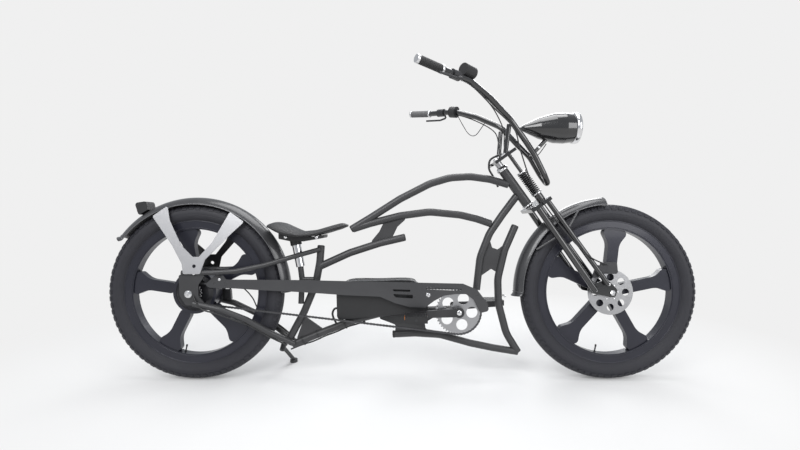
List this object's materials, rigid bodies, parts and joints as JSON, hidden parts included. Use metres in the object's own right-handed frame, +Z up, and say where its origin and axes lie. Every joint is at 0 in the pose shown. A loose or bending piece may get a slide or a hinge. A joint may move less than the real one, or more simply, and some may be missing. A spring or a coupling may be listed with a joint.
{
  "type": "electric cruiser bicycle",
  "caption": "Long low electric cruiser bicycle with sprung fork, curved tube frame, cast wheels, fenders and side stand, parked leaning on the stand.",
  "frame": {"origin": "middle of the leaning bicycle's bounding box, on the floor", "axes": "+X forward, +Y to the bicycle's left, the side it leans to, +Z up"},
  "size_m": [2.3526, 0.7538, 1.2072],
  "materials": {
    "frame_paint": "matte charcoal",
    "fender_paint": "satin dark grey",
    "tyre": "matte",
    "wheel_black": "satin black",
    "steel": "brushed",
    "chrome": "polished",
    "gloss_black": "gloss",
    "black_plastic": "matte",
    "grip_rubber": "ribbed",
    "leather": "grained",
    "lamp_shell": "gloss",
    "motor_case": "satin",
    "battery_case": "anodised black",
    "alloy": "satin"
  },
  "bodies": {
    "frame": {"head_tube": "frame_paint", "bottom_bracket": "frame_paint", "top_tube": "frame_paint", "front_tube": "frame_paint", "cruiser_tube": "frame_paint", "keel_tube": "frame_paint", "runner_tube": "frame_paint", "lower_tube": "frame_paint", "seat_mast": "frame_paint", "middle_tube": "frame_paint", "frame_webs": "frame_paint", "belly_plate": "frame_paint", "dropouts": "frame_paint", "rear_axle": "chrome", "upper_stays": "frame_paint", "chain_stays": "frame_paint", "rear_fender": "fender_paint", "rear_fender_braces": "fender_paint", "tail_light": "black_plastic", "rear_caliper": "alloy", "chain": "steel", "seat_tube": "frame_paint", "seat_post": "alloy", "saddle_pad": "leather", "saddle_base": "black_plastic", "battery": "battery_case", "chain_guard": "fender_paint", "stand_bracket": "frame_paint"},
    "fork": {"steerer": "steel", "fork_crowns": "gloss_black", "fork_spring": "steel", "spring_seat": "steel", "fork_rockers": "gloss_black", "rear_fork_legs": "gloss_black", "front_fork_legs": "gloss_black", "front_axle": "chrome", "front_fender": "fender_paint", "front_fender_braces": "fender_paint", "front_caliper": "alloy", "handlebar": "gloss_black", "risers": "gloss_black", "grips": "grip_rubber", "brake_levers": "alloy", "bar_controls": "black_plastic", "headlight": "lamp_shell", "headlight_bracket": "gloss_black"},
    "front_wheel": {"front_tyre": "tyre", "front_wheel": "wheel_black", "front_rotor": "steel"},
    "rear_wheel": {"rear_tyre": "tyre", "rear_wheel": "wheel_black", "motor_hub": "motor_case", "rear_cog": "steel", "rear_rotor": "steel"},
    "crank": {"chainring": "steel", "crank_arms": "alloy"},
    "right_pedal_body": {"right_pedal": "black_plastic"},
    "left_pedal_body": {"left_pedal": "black_plastic"},
    "stand": {"side_stand": "frame_paint"}
  },
  "joints": [
    {"name": "steering", "type": "hinge", "parent": "frame", "child": "fork", "pos_m": [0.4075, -0.03875, 0.83103], "axis": [-0.581, 0.0992, 0.8079], "range_deg": [-40, 40]},
    {"name": "front_wheel_spin", "type": "hinge", "parent": "fork", "child": "front_wheel", "pos_m": [0.8265, -0.0981, 0.34766], "axis": [0, 0.9925, -0.1219], "continuous": true},
    {"name": "rear_wheel_spin", "type": "hinge", "parent": "frame", "child": "rear_wheel", "pos_m": [-0.8265, -0.0981, 0.34766], "axis": [0, 0.9925, -0.1219], "continuous": true},
    {"name": "crank_spin", "type": "hinge", "parent": "frame", "child": "crank", "pos_m": [0.22, -0.107, 0.2752], "axis": [0, 0.9925, -0.1219], "continuous": true},
    {"name": "right_pedal_spin", "type": "hinge", "parent": "crank", "child": "right_pedal_body", "pos_m": [0.05023, -0.23712, 0.28222], "axis": [0, 0.9925, -0.1219], "continuous": true},
    {"name": "left_pedal_spin", "type": "hinge", "parent": "crank", "child": "left_pedal_body", "pos_m": [0.38977, 0.02311, 0.26819], "axis": [0, 0.9925, -0.1219], "continuous": true},
    {"name": "stand_fold", "type": "hinge", "parent": "frame", "child": "stand", "pos_m": [-0.4985, -0.06618, 0.09892], "axis": [0.0704, 0.7415, 0.6673], "range_deg": [0, 101.2]}
  ]
}
